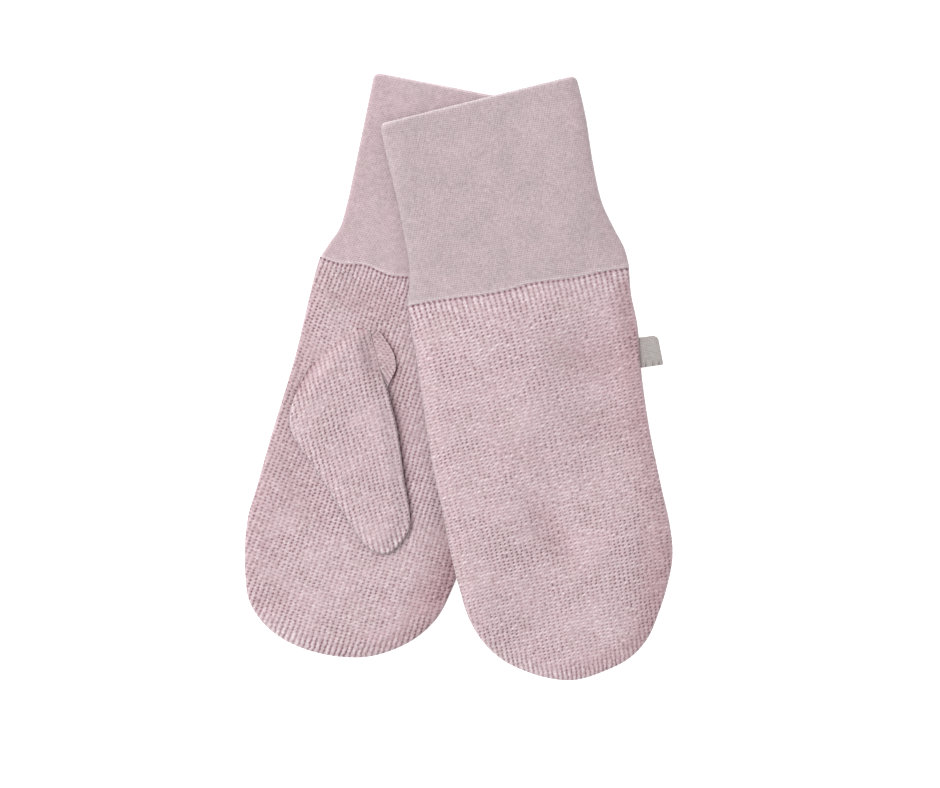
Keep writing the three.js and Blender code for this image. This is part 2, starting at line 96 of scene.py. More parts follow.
# Sections of the hands: at, left, right, tilt. "tilt" is how much nearer to the cuff's open edge the
# right end of a section is than its left end.
RIGHT_BODY = [
    (67.9, 40.2, 37.4, -2.0),
    (75.0, 40.8, 37.3, -1.0),
    (88.0, 41.1, 36.9, 0),
    (103.0, 41.5, 36.2, 0),
    (118.0, 42.7, 35.3, 0),
    (134.0, 44.1, 34.0, 0),
    (150.0, 45.1, 32.2, 0),
    (161.0, 46.0, 30.8, 0),
    (172.0, 44.8, 29.0, 0),
    (181.5, 42.6, 26.4, 0),
    (189.5, 39.6, 21.2, 0),
    (196.0, 33.6, 13.6, 0),
    (200.8, 24.0, 3.8, 0),
    (202.7, 10.5, -10.5, 0),
]
LEFT_BODY = [
    (65.2, 35.2, 43.6, 2.2),
    (73.0, 35.0, 43.0, 1.0),
    (84.0, 34.6, 43.6, 0),
    (100.0, 34.6, 42.6, 0),
    (120.0, 34.4, 42.5, 0),
    (140.0, 33.2, 43.6, 0),
    (156.0, 32.4, 44.7, 0),
    (166.0, 31.4, 44.0, 0),
    (176.0, 29.9, 40.6, 0),
    (185.0, 26.4, 36.2, 0),
    (193.0, 20.2, 31.2, 0),
    (199.0, 11.2, 23.8, 0),
    (202.6, 2.4, 12.6, 0),
    (203.7, -4.5, 4.5, 0),
]

# Sections of the cuffs, from the open edge to the seam: at, left, right, tilt
RIGHT_CUFF = [
    (-0.8, 35.0, 35.6, 1.2),
    (15.0, 34.9, 35.5, 0.6),
    (32.0, 34.8, 35.4, 0),
    (48.0, 34.9, 35.6, 0),
    (56.0, 35.6, 36.0, -0.6),
    (62.0, 38.0, 36.6, -1.2),
    (67.6, 40.2, 37.2, -2.0),
]
LEFT_CUFF = [
    (-2.0, 35.4, 35.0, 7.0),
    (12.0, 34.5, 36.2, 5.0),
    (28.0, 33.2, 36.4, 3.0),
    (41.0, 32.6, 37.5, 2.4),
    (50.0, 32.3, 40.2, 2.2),
    (58.0, 33.4, 43.0, 2.2),
    (64.9, 35.1, 43.8, 2.2),
]

# Sections of the two halves of a thumb, in the thumb's own frame: at, left, right, tilt
THUMB_OUTER = [
    (-1.0, 1.0, -1.0, 0),
    (1.2, 7.4, 6.2, 0),
    (6.0, 12.2, 7.0, 0),
    (14.0, 19.8, 7.6, 0),
    (22.0, 24.8, 9.0, 0),
    (29.0, 26.8, 9.5, 0),
    (36.5, 24.8, 9.8, 0),
    (45.0, 20.7, 9.5, 0),
    (55.0, 16.9, 9.0, 0),
    (65.0, 13.0, 8.8, 0),
    (71.5, 10.2, 7.6, 0),
    (76.5, 7.2, 3.2, 0),
    (79.0, 1.8, -1.8, 0),
]
THUMB_INNER = [
    (2.2, -9.4, 9.4, 0),
    (6.0, -4.0, 11.9, 0),
    (11.0, 4.0, 13.5, 0),
    (16.0, 15.0, 13.2, 0),
    (22.0, 23.2, 9.3, 0),
    (29.0, 26.4, 9.1, 0),
    (36.5, 24.5, 9.4, 0),
    (45.0, 20.4, 9.2, 0),
    (55.0, 16.6, 8.7, 0),
    (65.0, 12.7, 8.5, 0),
    (71.5, 9.9, 7.3, 0),
    (76.3, 6.9, 3.0, 0),
    (78.7, 1.8, -1.8, 0),
]

# The opening in the palm that the thumb is sewn round, in the thumb's frame
THUMB_HOLE = {"x": -6.5, "at": 10.5, "long": 15, "wide": 7.5, "turn": -53, "points": 24}

# The sewing that shows on a thumb: how far the gusset's seam and the thumb's fold run along its right
# side, and how many points of its outline the sewing round its top takes in to the right and to the left
GUSSET_SEAM_SPAN = (3, 27)
THUMB_FOLD_SPAN = (28, 72)
THUMB_TOP_POINTS = (6, 35)

# Soft troughs (depth over 0) and ridges (under 0): at, x, turn from the mitten's axis, length, width,
# depth
RIGHT_PALM_FOLDS = [
    (147, -30, 38, 50, 18, 0.8),
    (78, -20, 84, 42, 28, 1.0),
    (112, -37, 4, 72, 18, 0.8),
    (173, 22, -35, 42, 18, 1.0),
    (189, -33, -55, 30, 12, 0.7),
    (148, 24, -8, 72, 20, 0.8),
    (111, -3, 18, 84, 18, 0.9),
    (160, -37, 8, 70, 22, 0.5),
]
LEFT_BACK_FOLDS = [
    (150, 3, 26, 52, 14, 1.0),
    (93, 25, 72, 46, 28, 1.1),
    (84, 42, 10, 34, 14, 0.6),
    (122, -3, 70, 38, 14, 0.5),
    (118, 27, 84, 44, 22, 0.7),
    (168, 35, -8, 46, 16, 0.8),
    (187, 19, 20, 28, 16, -0.6),
    (141, 12, 20, 26, 14, -0.4),
    (82, -12, 60, 34, 20, -0.4),
]
LEFT_CUFF_FOLDS = [
    (33, 10, 64, 46, 20, 0.3),
    (52, 22, 48, 30, 14, 0.25),
]

# How the sewn edge of each cuff wanders: x, and how far it lies towards the finger tips
RIGHT_SEAM_WAVE = [(-42, 0), (-33, 1.0), (-24, -0.5), (-15, 0.9), (-6, -0.3), (8, 0.5), (22, -0.4), (40, 0)]
LEFT_SEAM_WAVE = [(-38, 0), (-25, -0.3), (-9, 0.5), (1, 0.4), (9, -0.5), (23, 0.2), (34, -0.2), (46, 0)]

# The folded label sewn into the left mitten's side seam: where it lies, its rounded outer corner, its
# curl, how far apart its two leaves are at the root and where they are fully apart, the painted shade at its
# root, the dashes of sewing along its edge, and the points of its net
LABEL = {"from": 88.4, "to": 99.0, "x": 43.2, "reach": 6.9, "skew": 0.5, "tucked": 0.6}
LABEL_CORNER = {"deep": 1.2, "from": 0.75, "tight": 6}
LABEL_CURL = {"high": 0.35, "turn": 3.0, "start": 0.6}
LABEL_LEAVES = {"root": 0.2, "open_at": 3}
LABEL_ROOT_SHADE = (0.12, 1.2)
LABEL_DASH = {"pitch": 2.2, "long": 1.3, "closer": 0.3, "gap": 9.0}
LABEL_NET = {"leaf": 13, "turn": 9, "down": 19}

# The fabric of each piece: the size of a stitch, where its middle lies, and which way it runs there.
# "lean" is how far a column of stitches leans to +X for each mm towards the finger tips, and "rise"
# how far a row of stitches comes nearer to the cuff for each mm towards +X. Both change across and
# along the piece. "ribbed" is how much the columns stand out all over it, and "open" how large the
# holes of its stitches are.
LEFT_KNIT = {
    "wale": 1.74, "course": 1.21, "x": 4, "at": 135, "ribbed": 0, "open": 1.0,
    "lean": 0.05, "lean_across": -0.0012, "lean_along": -0.0009,
    "rise": 0.085, "rise_across": -0.0007, "rise_along": -0.0004,
}
RIGHT_KNIT = {
    "wale": 1.66, "course": 1.20, "x": 0, "at": 135, "ribbed": 0.2, "open": 1.15,
    "lean": -0.10, "lean_across": 0.0014, "lean_along": -0.0004,
    "rise": -0.10, "rise_across": 0.0045, "rise_along": 0.0005,
}
THUMB_KNIT = {
    "wale": 1.70, "course": 1.20, "x": -5, "at": 40, "ribbed": 0.15, "open": 1.1,
    "lean": 0.045, "lean_across": 0, "lean_along": 0,
    "rise": 0.12, "rise_across": -0.0055, "rise_along": 0,
}
GUSSET_KNIT = {
    "wale": 1.60, "course": 1.20, "x": 4, "at": 12, "ribbed": 0.1, "open": 1.0,
    "lean": 0.40, "lean_across": 0, "lean_along": 0,
    "rise": -0.35, "rise_across": 0, "rise_along": 0,
}
CUFF_KNIT = {"wale": 0.95, "course": 0.70, "slant": 0.35, "open": 0.7}
LABEL_KNIT = {"wale": 0.62, "course": 0.55, "open": 0.8}

# How deep the stitches and the grooves that join them are, how far in from the finger tips and from
# seams the grooves are strong, and how strong they are at a seam and beside other sewing. How far the
# knit's lines waver and where their waves start, and how far single stitches stray.
STITCH_DEPTH = 0.34
GROOVE_DEPTH = 0.22
RIB_REACH = 4.5
SEAM_RIBS = 0.45
SEAM_RIB_REACH = 8.0
SEWN_RIBS = 0.18
WAVER = 0.28
BODY_PHASES = (0.4, 1.7)
CUFF_PHASES = (0.9, 2.2)
STRAY = 0.20

# A stitch's hole: its slant in degrees, its length and width in the relief, and as shares of the stitch
# in the material. A groove's width and its least depth, and how the relief fades towards a side.
HOLE_SLANT = 32
HOLE_LONG = 0.44
HOLE_WIDE = 0.30
HOLE_SHARE = (0.23, 0.24)
GROOVE_WIDE = 0.34
GROOVE_LEAST = 0.05
RELIEF_REACH = 0.5
RELIEF_LEAST = 0.3

# How strong the stitches' holes are: the middle, how far single stitches and whole patches of them
# differ from it, and the least and the most
STRENGTH = 0.74
STRENGTH_SINGLE = 0.15
STRENGTH_PATCHES = 0.22
STRENGTH_RANGE = (0.25, 1.3)

# How much painted shade darkens a trough 1 mm deep, and painted light brightens a ridge as high
TROUGH_SHADE = 0.11

# Bands of painted light and shade: how much, and how far they reach. Painted shade lies beside sewing,
# along a hand's sides away from the light and the right hand's sides towards it, and round a thumb's sewn
# top. Painted highlights lie along a thumb's rim and fold, below its top, where they begin.
SEWN_SHADE = (0.18, 1.6)
AWAY_SIDE_SHADE = (0.24, 7.5)
RIGHT_LIT_SIDE_SHADE = (0.09, 4.5)
NO_BAND = (0, 1)
RIM_HIGHLIGHT = (0.14, 0.9)
FOLD_HIGHLIGHT = (0.08, 3)
TOP_SHADE = (0.10, 6)
THUMB_BAND_START = 15

# Each cuff's own tone all over, the painted light along its left side and its right side (shade below 0),
# and how much pinker it is
RIGHT_CUFF_TONES_AND_PAINTED_SIDES = {"all": 0.10, "left": -0.09, "right": 0, "blush": 0.04}
LEFT_CUFF_TONES_AND_PAINTED_SIDES = {"all": 0.01, "left": 0.03, "right": -0.07, "blush": 0}
CUFF_SIDE_REACH = 5

# The way the light goes across the pair, which sets the sides where shade and highlights are painted, and
# the way that the columns of stitches run in a piece
DOWN_LIGHT = (1.6, -0.7)
DOWN_WALE = (0, -1.7)

# Mesh points for each stitch across and along: on a face that shows, and on one that is hidden
FINE = (4, 4)
PLAIN = (1, 2)

# The ways that an outline's sides face are found from every third of its points
OUTLINE_STEP = 3

# The net of a cuff: its columns, how much closer together they stand towards the sides, its rows near an
# end, and the others outside and inside
CUFF_COLUMNS = 110
CUFF_CLOSER = 0.35
CUFF_END_ROWS = np.array([0, 0.15, 0.4, 0.8, 1.2, 1.8, 2.6])
CUFF_OUTER_ROWS = {"from": 3.4, "to_seam": 3.0, "apart": 0.75}
CUFF_INNER_ROWS = {"from": 4, "to_seam": 4, "count": 14}

# Farther than anything is from a seam or a side
FAR = 99.0

# Yarn colours as linear light: the yarn itself, its pale loops where highlights are painted, its shaded
# depth where shade is painted, and its greyer fibres
BODY_YARN = {
    "middle": (0.440, 0.322, 0.348), "pale": (0.600, 0.520, 0.545),
    "deep": (0.185, 0.086, 0.106), "grey": (0.355, 0.280, 0.280),
}
CUFF_YARN = {
    "middle": (0.395, 0.308, 0.330), "pale": (0.560, 0.480, 0.500),
    "deep": (0.230, 0.150, 0.165), "grey": (0.310, 0.262, 0.264),
}
LABEL_YARN = {
    "middle": (0.315, 0.288, 0.278), "pale": (0.400, 0.380, 0.370),
    "deep": (0.130, 0.115, 0.110), "grey": (0.290, 0.265, 0.255),
}

# How much the tone and painted light over 0, and a blush, brighten each channel of a yarn's colour. Painted
# shade is redder.
TINTS = [("Red", 0.75, 1.0), ("Green", 1.12, -0.5), ("Blue", 1.06, -0.1)]

# Uneven patches in the materials: a noise, the span of it that is used, and the range that it becomes
GROOVE_PATCHES = {"scale": 110, "detail": 3, "roughness": 0.5, "span": (0.40, 0.70), "range": (0.0, 1.5)}
LOOP_PATCHES = {"scale": 620, "detail": 1, "roughness": 0.5, "span": (0.35, 0.65), "range": (0.2, 1.2)}
MOTTLE = {"scale": 95, "detail": 5, "roughness": 0.68, "span": (0.36, 0.68), "range": (0, 1)}
FIBRES = {"scale": 2300, "detail": 2, "roughness": 0.7, "span": (0.3, 0.7), "range": (-1, 1)}
WISPS = {"scale": 900, "detail": 2, "roughness": 0.6, "span": (0.3, 0.7), "range": (-0.8, 0.8)}
FLOOR_GRAIN = {"scale": 40, "detail": 2, "roughness": 0.5, "span": (0.3, 0.7), "range": (0.74, 0.76)}

# The drawn stitch, in shares of one: painted shade in its holes, grooves and rows, and painted highlights on
# its loops. A groove has a least strength, and closes the holes in it. Pale loops lie on the column, or
# beside it where the columns part. Rows are thin dark lines between stitches.
GROOVE = {"wide": 0.17, "least": 1.2, "closes": 0.6}
LOOP = {"wide": 0.25, "least": 0.5, "beside": 0.32, "parts": 3.0, "lean": 0.5, "soft": 0.6}
ROW = {"wide": 0.24, "most": 1.3}

# The drawn line of sewing: how far it lies from its seam and how wide it is, in mm, and how dark it is
# between its dashes and in them. Beside the thumb's fold the line is painted shade in the crease. How far
# the painted highlight along a cuff's ends reaches.
SEWING = {"from": 0.1, "wide": 0.35, "middle": 0.65, "swing": -0.35}
END_HIGHLIGHT_REACH = 0.8

# How far the drawn stitches stand out, in mm, and how much fibres and pale loops add to them
KNIT_BUMP = 0.14
FLOOR_BUMP = 0.01
FIBRE_HEIGHT = 3.0
LOOP_HEIGHT = 0.6

# The picture: its width in pixels, the size of one, and the point of the surface at its middle
PICTURE_WIDTH = 940
PIXEL = 0.35
PICTURE_MIDDLE = (4.0, -6.2)
CAMERA_HEIGHT = 2600
SENSOR = 36

# The light from all round, a wide soft light from the upper left, and the floor's half width and glow
ROUND_LIGHT = 0.97
KEY_LIGHT = {"energy": 2.5, "spread": 30, "turn": (-18, -34, 0)}
FLOOR_HALF = 3.0
FLOOR_GLOW = 0.7
FLOOR_DROP = 0.0002

random = np.random.default_rng(7)


# Curves and outlines

def ease(t):
    """A soft step from 0 to 1."""
    t = np.clip(t, 0, 1)
    return t * t * (3 - 2 * t)


def near(distance, reach):
    """1 at no distance, falling off softly over the reach."""
    return np.exp(-((distance / reach) ** 2))


def band(size, distance):
    """A band of painted light, strongest at no distance. Its size is how much, and how far it reaches."""
    amount, reach = size
    return amount * near(distance, reach)


def quarter_round(distance, radius):
    """The height of a rounded edge, from 0 at its foot to 1 at the radius and beyond."""
    rest = 1 - np.clip(distance / radius, 0, 1)
    return np.sqrt(1 - rest * rest)


def smooth_curve(points, closed, samples=10):
    """Points along a centripetal Catmull-Rom curve."""
    p = np.asarray(points, float)
    if closed:
        p = np.vstack([p[-1], p, p[0], p[1]])
    else:
        p = np.vstack([2 * p[0] - p[1], p, 2 * p[-1] - p[-2]])
    t = np.linspace(0, 1, samples, endpoint=False)[:, None]
    parts = []
    for a, b, c, d in zip(p, p[1:], p[2:], p[3:]):
        ab, bc, cd = (math.sqrt(np.linalg.norm(q)) for q in (b - a, c - b, d - c))
        start = ((b - a) / ab - (c - a) / (ab + bc)) * bc + (c - b)
        stop = ((d - c) / cd - (d - b) / (bc + cd)) * bc + (c - b)
        square = 3 * (c - b) - 2 * start - stop
        cube = 2 * (b - c) + start + stop
        parts.append(b + start * t + square * t**2 + cube * t**3)
    if not closed:
        parts.append(p[-2:-1])
    return np.vstack(parts)


def section_ends(rows, side):
    """The left or the right ends of a table of sections."""
    return [((-left if side < 0 else right), -(at - side * tilt / 2)) for at, left, right, tilt in rows]


def outline_of(rows, pointed):
    """The outline of a piece, down its left side and back up its right side."""
    left = section_ends(rows, -1)
    right = section_ends(rows, 1)
    back = right[1:-1] if pointed else right[:-1]
    return smooth_curve(left + back[::-1], closed=pointed)


def nearest_on(line, points, closed=True):
    """The distance from each point to a line of segments, and the nearest point on it."""
    starts = line
    ends = np.roll(line, -1, axis=0)
    if not closed:
        starts, ends = starts[:-1], ends[:-1]
    best = np.full(len(points), np.inf)
    nearest = np.zeros_like(points)
    for a, b in zip(starts, ends):
        ab = b - a
        t = np.clip((points - a) @ ab / max(ab @ ab, 1e-12), 0, 1)
        q = a + t[:, None] * ab
        gap = np.hypot(*(points - q).T)
        nearer = gap < best
        best[nearer] = gap[nearer]
        nearest[nearer] = q[nearer]
    return best, nearest


def is_inside(line, points):
    """Which points lie inside a closed line."""
    x, y = points.T
    inside = np.zeros(len(points), bool)
    for (ax, ay), (bx, by) in zip(line, np.roll(line, -1, axis=0)):
        if ay != by:
            inside ^= ((ay > y) != (by > y)) & (x < ax + (bx - ax) * (y - ay) / (by - ay))
    return inside


def facing(line, points, direction):
    """1 near the sides of an outline that face in a direction, and -1 near those that face against it."""
    step = np.array(direction)

    def depth_in(q):
        gap, _ = nearest_on(line, q)
        return np.where(is_inside(line, q), gap, -gap)

    return np.clip((depth_in(points - step) - depth_in(points + step)) / (2 * np.hypot(*step)), -1, 1)


def to_outer(place, points):
    """Points of a turned frame, in the frame that it is placed in."""
    c, s = math.cos(math.radians(place["turn"])), math.sin(math.radians(place["turn"]))
    x, y = points[:, 0], points[:, 1]
    return np.stack([place["x"] + c * x - s * y, place["y"] + s * x + c * y], axis=1)


# Heights

def fold_depth(folds, points):
    """How deep the troughs and ridges are at each point."""
    depth = np.zeros(len(points))
    for at, x, turn, length, width, deep in folds:
        c, s = math.cos(math.radians(turn)), math.sin(math.radians(turn))
        dx, dy = points[:, 0] - x, -points[:, 1] - at
        along = (dx * s + dy * c) / (length / 2)
        across = (dx * c - dy * s) / (width / 2)
        depth += deep * (1 - np.clip(along**2 + across**2, 0, 1)) ** 2
    return depth


def lift_over(layer, points):
    """How much a layer beneath lifts the cloth: all its height over the layer, easing off past it."""
    past, _ = nearest_on(layer["outline"], points)
    past[is_inside(layer["outline"], points)] = 0
    return layer["height"] * (1 - ease((past - DRAPE_START) / layer["drape"]))


# Knitted fabric

def waver(s, t, phase):
    """A smooth, uneven wave over the cloth, between about -1 and 1."""
    slow = np.sin(s / 7.3 + 0.6 * np.sin(t / 9.1 + phase) + phase)
    quick = np.sin(t / 4.7 + 0.8 * np.sin(s / 5.2 - phase) + 2.3 * phase)
    return 0.6 * slow + 0.4 * quick


def knit_point(knit, s, t):
    """Where a point of the fabric lies, from its distances across and along it."""
    x = s + (knit["lean"] + knit["lean_across"] * s + knit["lean_along"] * t / 2) * t
    at = t - (knit["rise"] + knit["rise_across"] * s / 2 + knit["rise_along"] * t) * s
    x = x + WAVER * waver(s, t, BODY_PHASES[0])
    at = at + WAVER * waver(t, s, BODY_PHASES[1])
    return np.stack([knit["x"] + x, -(knit["at"] + at)], axis=-1)


def knit_range(knit, outline):
    """The first and last columns and rows of stitches that an outline takes in."""
    goal = np.stack([outline[:, 0] - knit["x"], -outline[:, 1] - knit["at"]], axis=1)
    st = goal.copy()

    # Each pass brings the distances nearer to the ones that the outline lies at
    for _ in range(40):
        found = knit_point(knit, st[:, 0], st[:, 1])
        off = np.stack([found[:, 0] - knit["x"], -found[:, 1] - knit["at"]], axis=1)
        st += goal - off
    sizes = np.array([knit["wale"], knit["course"]])
    low = np.floor(st.min(0) / sizes).astype(int) - 1
    high = np.ceil(st.max(0) / sizes).astype(int) + 1
    return low, high


def hole_shape(u, v, knit):
    """1 in the middle of a stitch's slanted hole, and 0 on the yarn round it."""
    du = (u % 1 - 0.5) * knit["wale"]
    dv = (v % 1 - 0.5) * knit["course"]
    c, s = math.cos(math.radians(HOLE_SLANT)), math.sin(math.radians(HOLE_SLANT))
    along = du * c - dv * s
    across = du * s + dv * c
    return near(along, HOLE_LONG) * near(across, HOLE_WIDE)


def groove_shape(u, knit):
    """1 down the middle of a column of stitches, where its holes run together, and 0 between columns."""
    return near((u % 1 - 0.5) * knit["wale"], GROOVE_WIDE)


def smoothed(values, passes=6):
    """Random numbers smoothed over their neighbours, and scaled back to their old spread."""
    for _ in range(passes):
        for axis in (0, 1):
            values = (np.roll(values, 1, axis) + 2 * values + np.roll(values, -1, axis)) / 4
    return values / values.std()


def squares(index):
    """The square cells between the rows and columns of a net of point numbers."""
    corners = [index[:-1, :-1], index[:-1, 1:], index[1:, 1:], index[1:, :-1]]
    return np.stack(corners, axis=-1).reshape(-1, 4)


def fabric(knit, outline, density):
    """A net of points over an outline, in step with the stitches, and its square cells."""
    low, high = knit_range(knit, outline)
    across, along = density
    u = np.arange(low[0] * across, high[0] * across + 1) / across
    v = np.arange(low[1] * along, high[1] * along + 1) / along
    grid_u, grid_v = np.meshgrid(u, v, indexing="ij")
    shape = grid_u.shape
    u, v = grid_u.ravel(), grid_v.ravel()
    points = knit_point(knit, u * knit["wale"], v * knit["course"])

    column = np.floor(u + 1e-6).astype(int) - low[0]
    row = np.floor(v + 1e-6).astype(int) - low[1]
    size = (column.max() + 1, row.max() + 1)
    patches = smoothed(random.standard_normal(size))
    strength = STRENGTH + STRENGTH_SINGLE * random.standard_normal(size) + STRENGTH_PATCHES * patches
    strength = knit["open"] * np.clip(strength, *STRENGTH_RANGE)[column, row]
    if density == FINE:
        shift = random.standard_normal((*size, 2))[column, row] * STRAY
        window = np.sin(np.pi * (u % 1)) * np.sin(np.pi * (v % 1))
        points = points + shift * window[:, None]

    gap, nearest = nearest_on(outline, points)
    inside = is_inside(outline, points)
    points = np.where(inside[:, None], points, nearest)
    index = np.arange(len(points)).reshape(shape)
    cells = squares(index)
    cells = cells[inside[cells].any(axis=1)]
    used, cells = np.unique(cells, return_inverse=True)
    cells = cells.reshape(-1, 4)
    return {"points": points[used], "cells": cells, "u": u[used], "v": v[used], "strength": strength[used]}


def make_mesh(name, points, heights, cells, attributes, up=True):
    """A Blender object from points in the pair's frame and their heights, all in mm."""
    vertices = np.column_stack([points + PAIR_SHIFT, heights]) * MM
    faces = cells if up else cells[:, ::-1]
    mesh = bpy.data.meshes.new(name)
    mesh.from_pydata(vertices.tolist(), [], faces.tolist())
    for key, columns in attributes.items():
        layer = mesh.attributes.new(key, "FLOAT_VECTOR", "POINT")
        layer.data.foreach_set("vector", np.column_stack(columns).astype(np.float32).ravel())
    mesh.shade_smooth()
    mesh.update()
    piece = bpy.data.objects.new(name, mesh)
    bpy.context.scene.collection.objects.link(piece)
    return piece


def move_to_wave(points, wave, from_seam):
    """Points moved along the mitten so that those at the seam follow its wave."""
    curve = smooth_curve(wave, closed=False)
    shift = np.interp(points[:, 0], curve[:, 0], curve[:, 1]) * near(from_seam, SEAM_WAVE_REACH)
    return points - np.outer(shift, (0, 1))


def below_line(line, points):
    """How far points are from a line between two ends, on the side of the finger tips."""
    a, b = line
    across = (b - a) / np.hypot(*(b - a))
    return (points - a) @ np.array([across[1], -across[0]])


def weld(piece):
    """Joins the points of a mesh that lie at the same place."""
    net = bmesh.new()
    net.from_mesh(piece.data)
    bmesh.ops.remove_doubles(net, verts=net.verts, dist=1e-6)
    net.to_mesh(piece.data)
    net.free()


def hand_painted_shade(lit_side_shade):
    """Painted shade on a hand along the sides that face away from the light, and a band of it along the
    others.
    """
    def tone_and_painted_light(points, away, from_side):
        dim = band(AWAY_SIDE_SHADE, from_side) * np.clip(away, 0, 1)
        return -dim - band(lit_side_shade, from_side) * np.clip(-away, 0, 1)

    return tone_and_painted_light


def thumb_painted_light(points, away, from_side):
    """Painted light on a thumb: shade round its sewn top, and highlights along its rim on one side and its
    fold on the other.
    """
    free = ease((-points[:, 1] - THUMB_FREE) / THUMB_BAND_START)
    rim = band(RIM_HIGHLIGHT, from_side) * np.clip(-away, 0, 1)
    fold = band(FOLD_HIGHLIGHT, from_side) * np.clip(away, 0, 1)
    return free * (rim + fold) - (1 - free) * band(TOP_SHADE, from_side)


def panel(name, place, outline, knit, base, wall, up, density, sink, painted_light, rise=None, seam=None, wave=(),
          sewn=None, folds=(), hole=None):
    """One layer of knitted cloth: its outer face, rounded down to the sides and to the seam."""
    cloth = fabric(knit, outline, density)
    points, cells = cloth["points"], cloth["cells"]
    if hole is not None:
        cells = cells[~is_inside(hole, points[cells].mean(axis=1))]
    from_side, _ = nearest_on(outline, points, closed=seam is None)
    from_seam = np.full(len(points), FAR)
    from_sewn = np.full(len(points), FAR)
    end = 1
    if seam is not None:
        from_seam = below_line(seam, points)
        end = quarter_round(np.maximum(from_seam, 0) + END_START, SEAM_ROUND)
    if sewn is not None:
        from_sewn, _ = nearest_on(sewn, points, closed=False)
    away = facing(place(outline)[::OUTLINE_STEP], place(points), DOWN_LIGHT)
    tipward = np.clip(facing(outline[::OUTLINE_STEP], points, DOWN_WALE), 0, 1) ** 2
    ribbed = tipward * near(from_side, RIB_REACH) + SEAM_RIBS * near(from_seam, SEAM_RIB_REACH)
    ribbed = np.clip(ribbed + SEWN_RIBS * near(from_sewn, SEAM_RIB_REACH) + knit["ribbed"], 0, 1)

    full = wall * (quarter_round(from_side, SIDE_ROUND) if rise is None else rise(points, from_side)) * end
    sunk = sink * (1 - ease(from_side / SINK_REACH))
    troughs = fold_depth(folds, points) * quarter_round(from_side, 2 * SIDE_ROUND)
    depth = troughs
    if density == FINE:
        relief = STITCH_DEPTH * cloth["strength"] * hole_shape(cloth["u"], cloth["v"], knit)
        grooved = GROOVE_LEAST + (1 - GROOVE_LEAST) * ribbed
        relief = relief + GROOVE_DEPTH * grooved * groove_shape(cloth["u"], knit)
        depth = depth + relief * np.clip(from_side / RELIEF_REACH, RELIEF_LEAST, 1)
    if up:
        heights = base(points) + full - depth - sunk
    else:
        heights = base(points) + np.maximum(wall - full + depth - sunk, 0)
    if seam is not None:
        points = move_to_wave(points, wave, from_seam)
    # Painted light and shade: along the sides as the light falls on them, in the troughs and on the ridges,
    # and beside sewing
    tone_and_painted_light = painted_light(points, away, from_side) - TROUGH_SHADE * troughs - band(SEWN_SHADE, from_sewn)
    attributes = {
        "knit": (cloth["u"], cloth["v"], cloth["strength"]),
        "looks": (ribbed, np.minimum(from_seam, from_sewn), tone_and_painted_light),
    }
    return make_mesh(name, place(points), heights, cells, attributes, up=not up)


def point_along(curve, share):
    """Points at shares of a curve's length."""
    steps = np.hypot(*np.diff(curve, axis=0).T)
    total = np.concatenate([[0], np.cumsum(steps)])
    return np.stack([np.interp(share * total[-1], total, curve[:, k]) for k in (0, 1)], axis=-1)


def cuff_layer(rows, stations, wall):
    """Rows of points across a cuff at distances from its open end, and how far they are from its sides."""
    left = smooth_curve(section_ends(rows, -1), closed=False, samples=24)
    right = smooth_curve(section_ends(rows, 1), closed=False, samples=24)
    long = rows[-1][0] - rows[0][0]
    inset = CORNER_ROUND * (1 - quarter_round(stations + END_START, CORNER_ROUND)) + wall
    a, b = point_along(left, stations / long), point_along(right, stations / long)
    width = np.hypot(*(b - a).T)[:, None]
    even = np.linspace(0, 1, CUFF_COLUMNS + 1)
    share = CUFF_CLOSER * (1 - np.cos(np.pi * even)) / 2 + (1 - CUFF_CLOSER) * even
    first = inset[:, None] / width
    share = first + share * (1 - 2 * first)
    points = a[:, None, :] + share[:, :, None] * (b - a)[:, None, :]
    from_side = np.minimum(share - first, 1 - first - share) * width
    return points, np.maximum(from_side, 0).ravel()


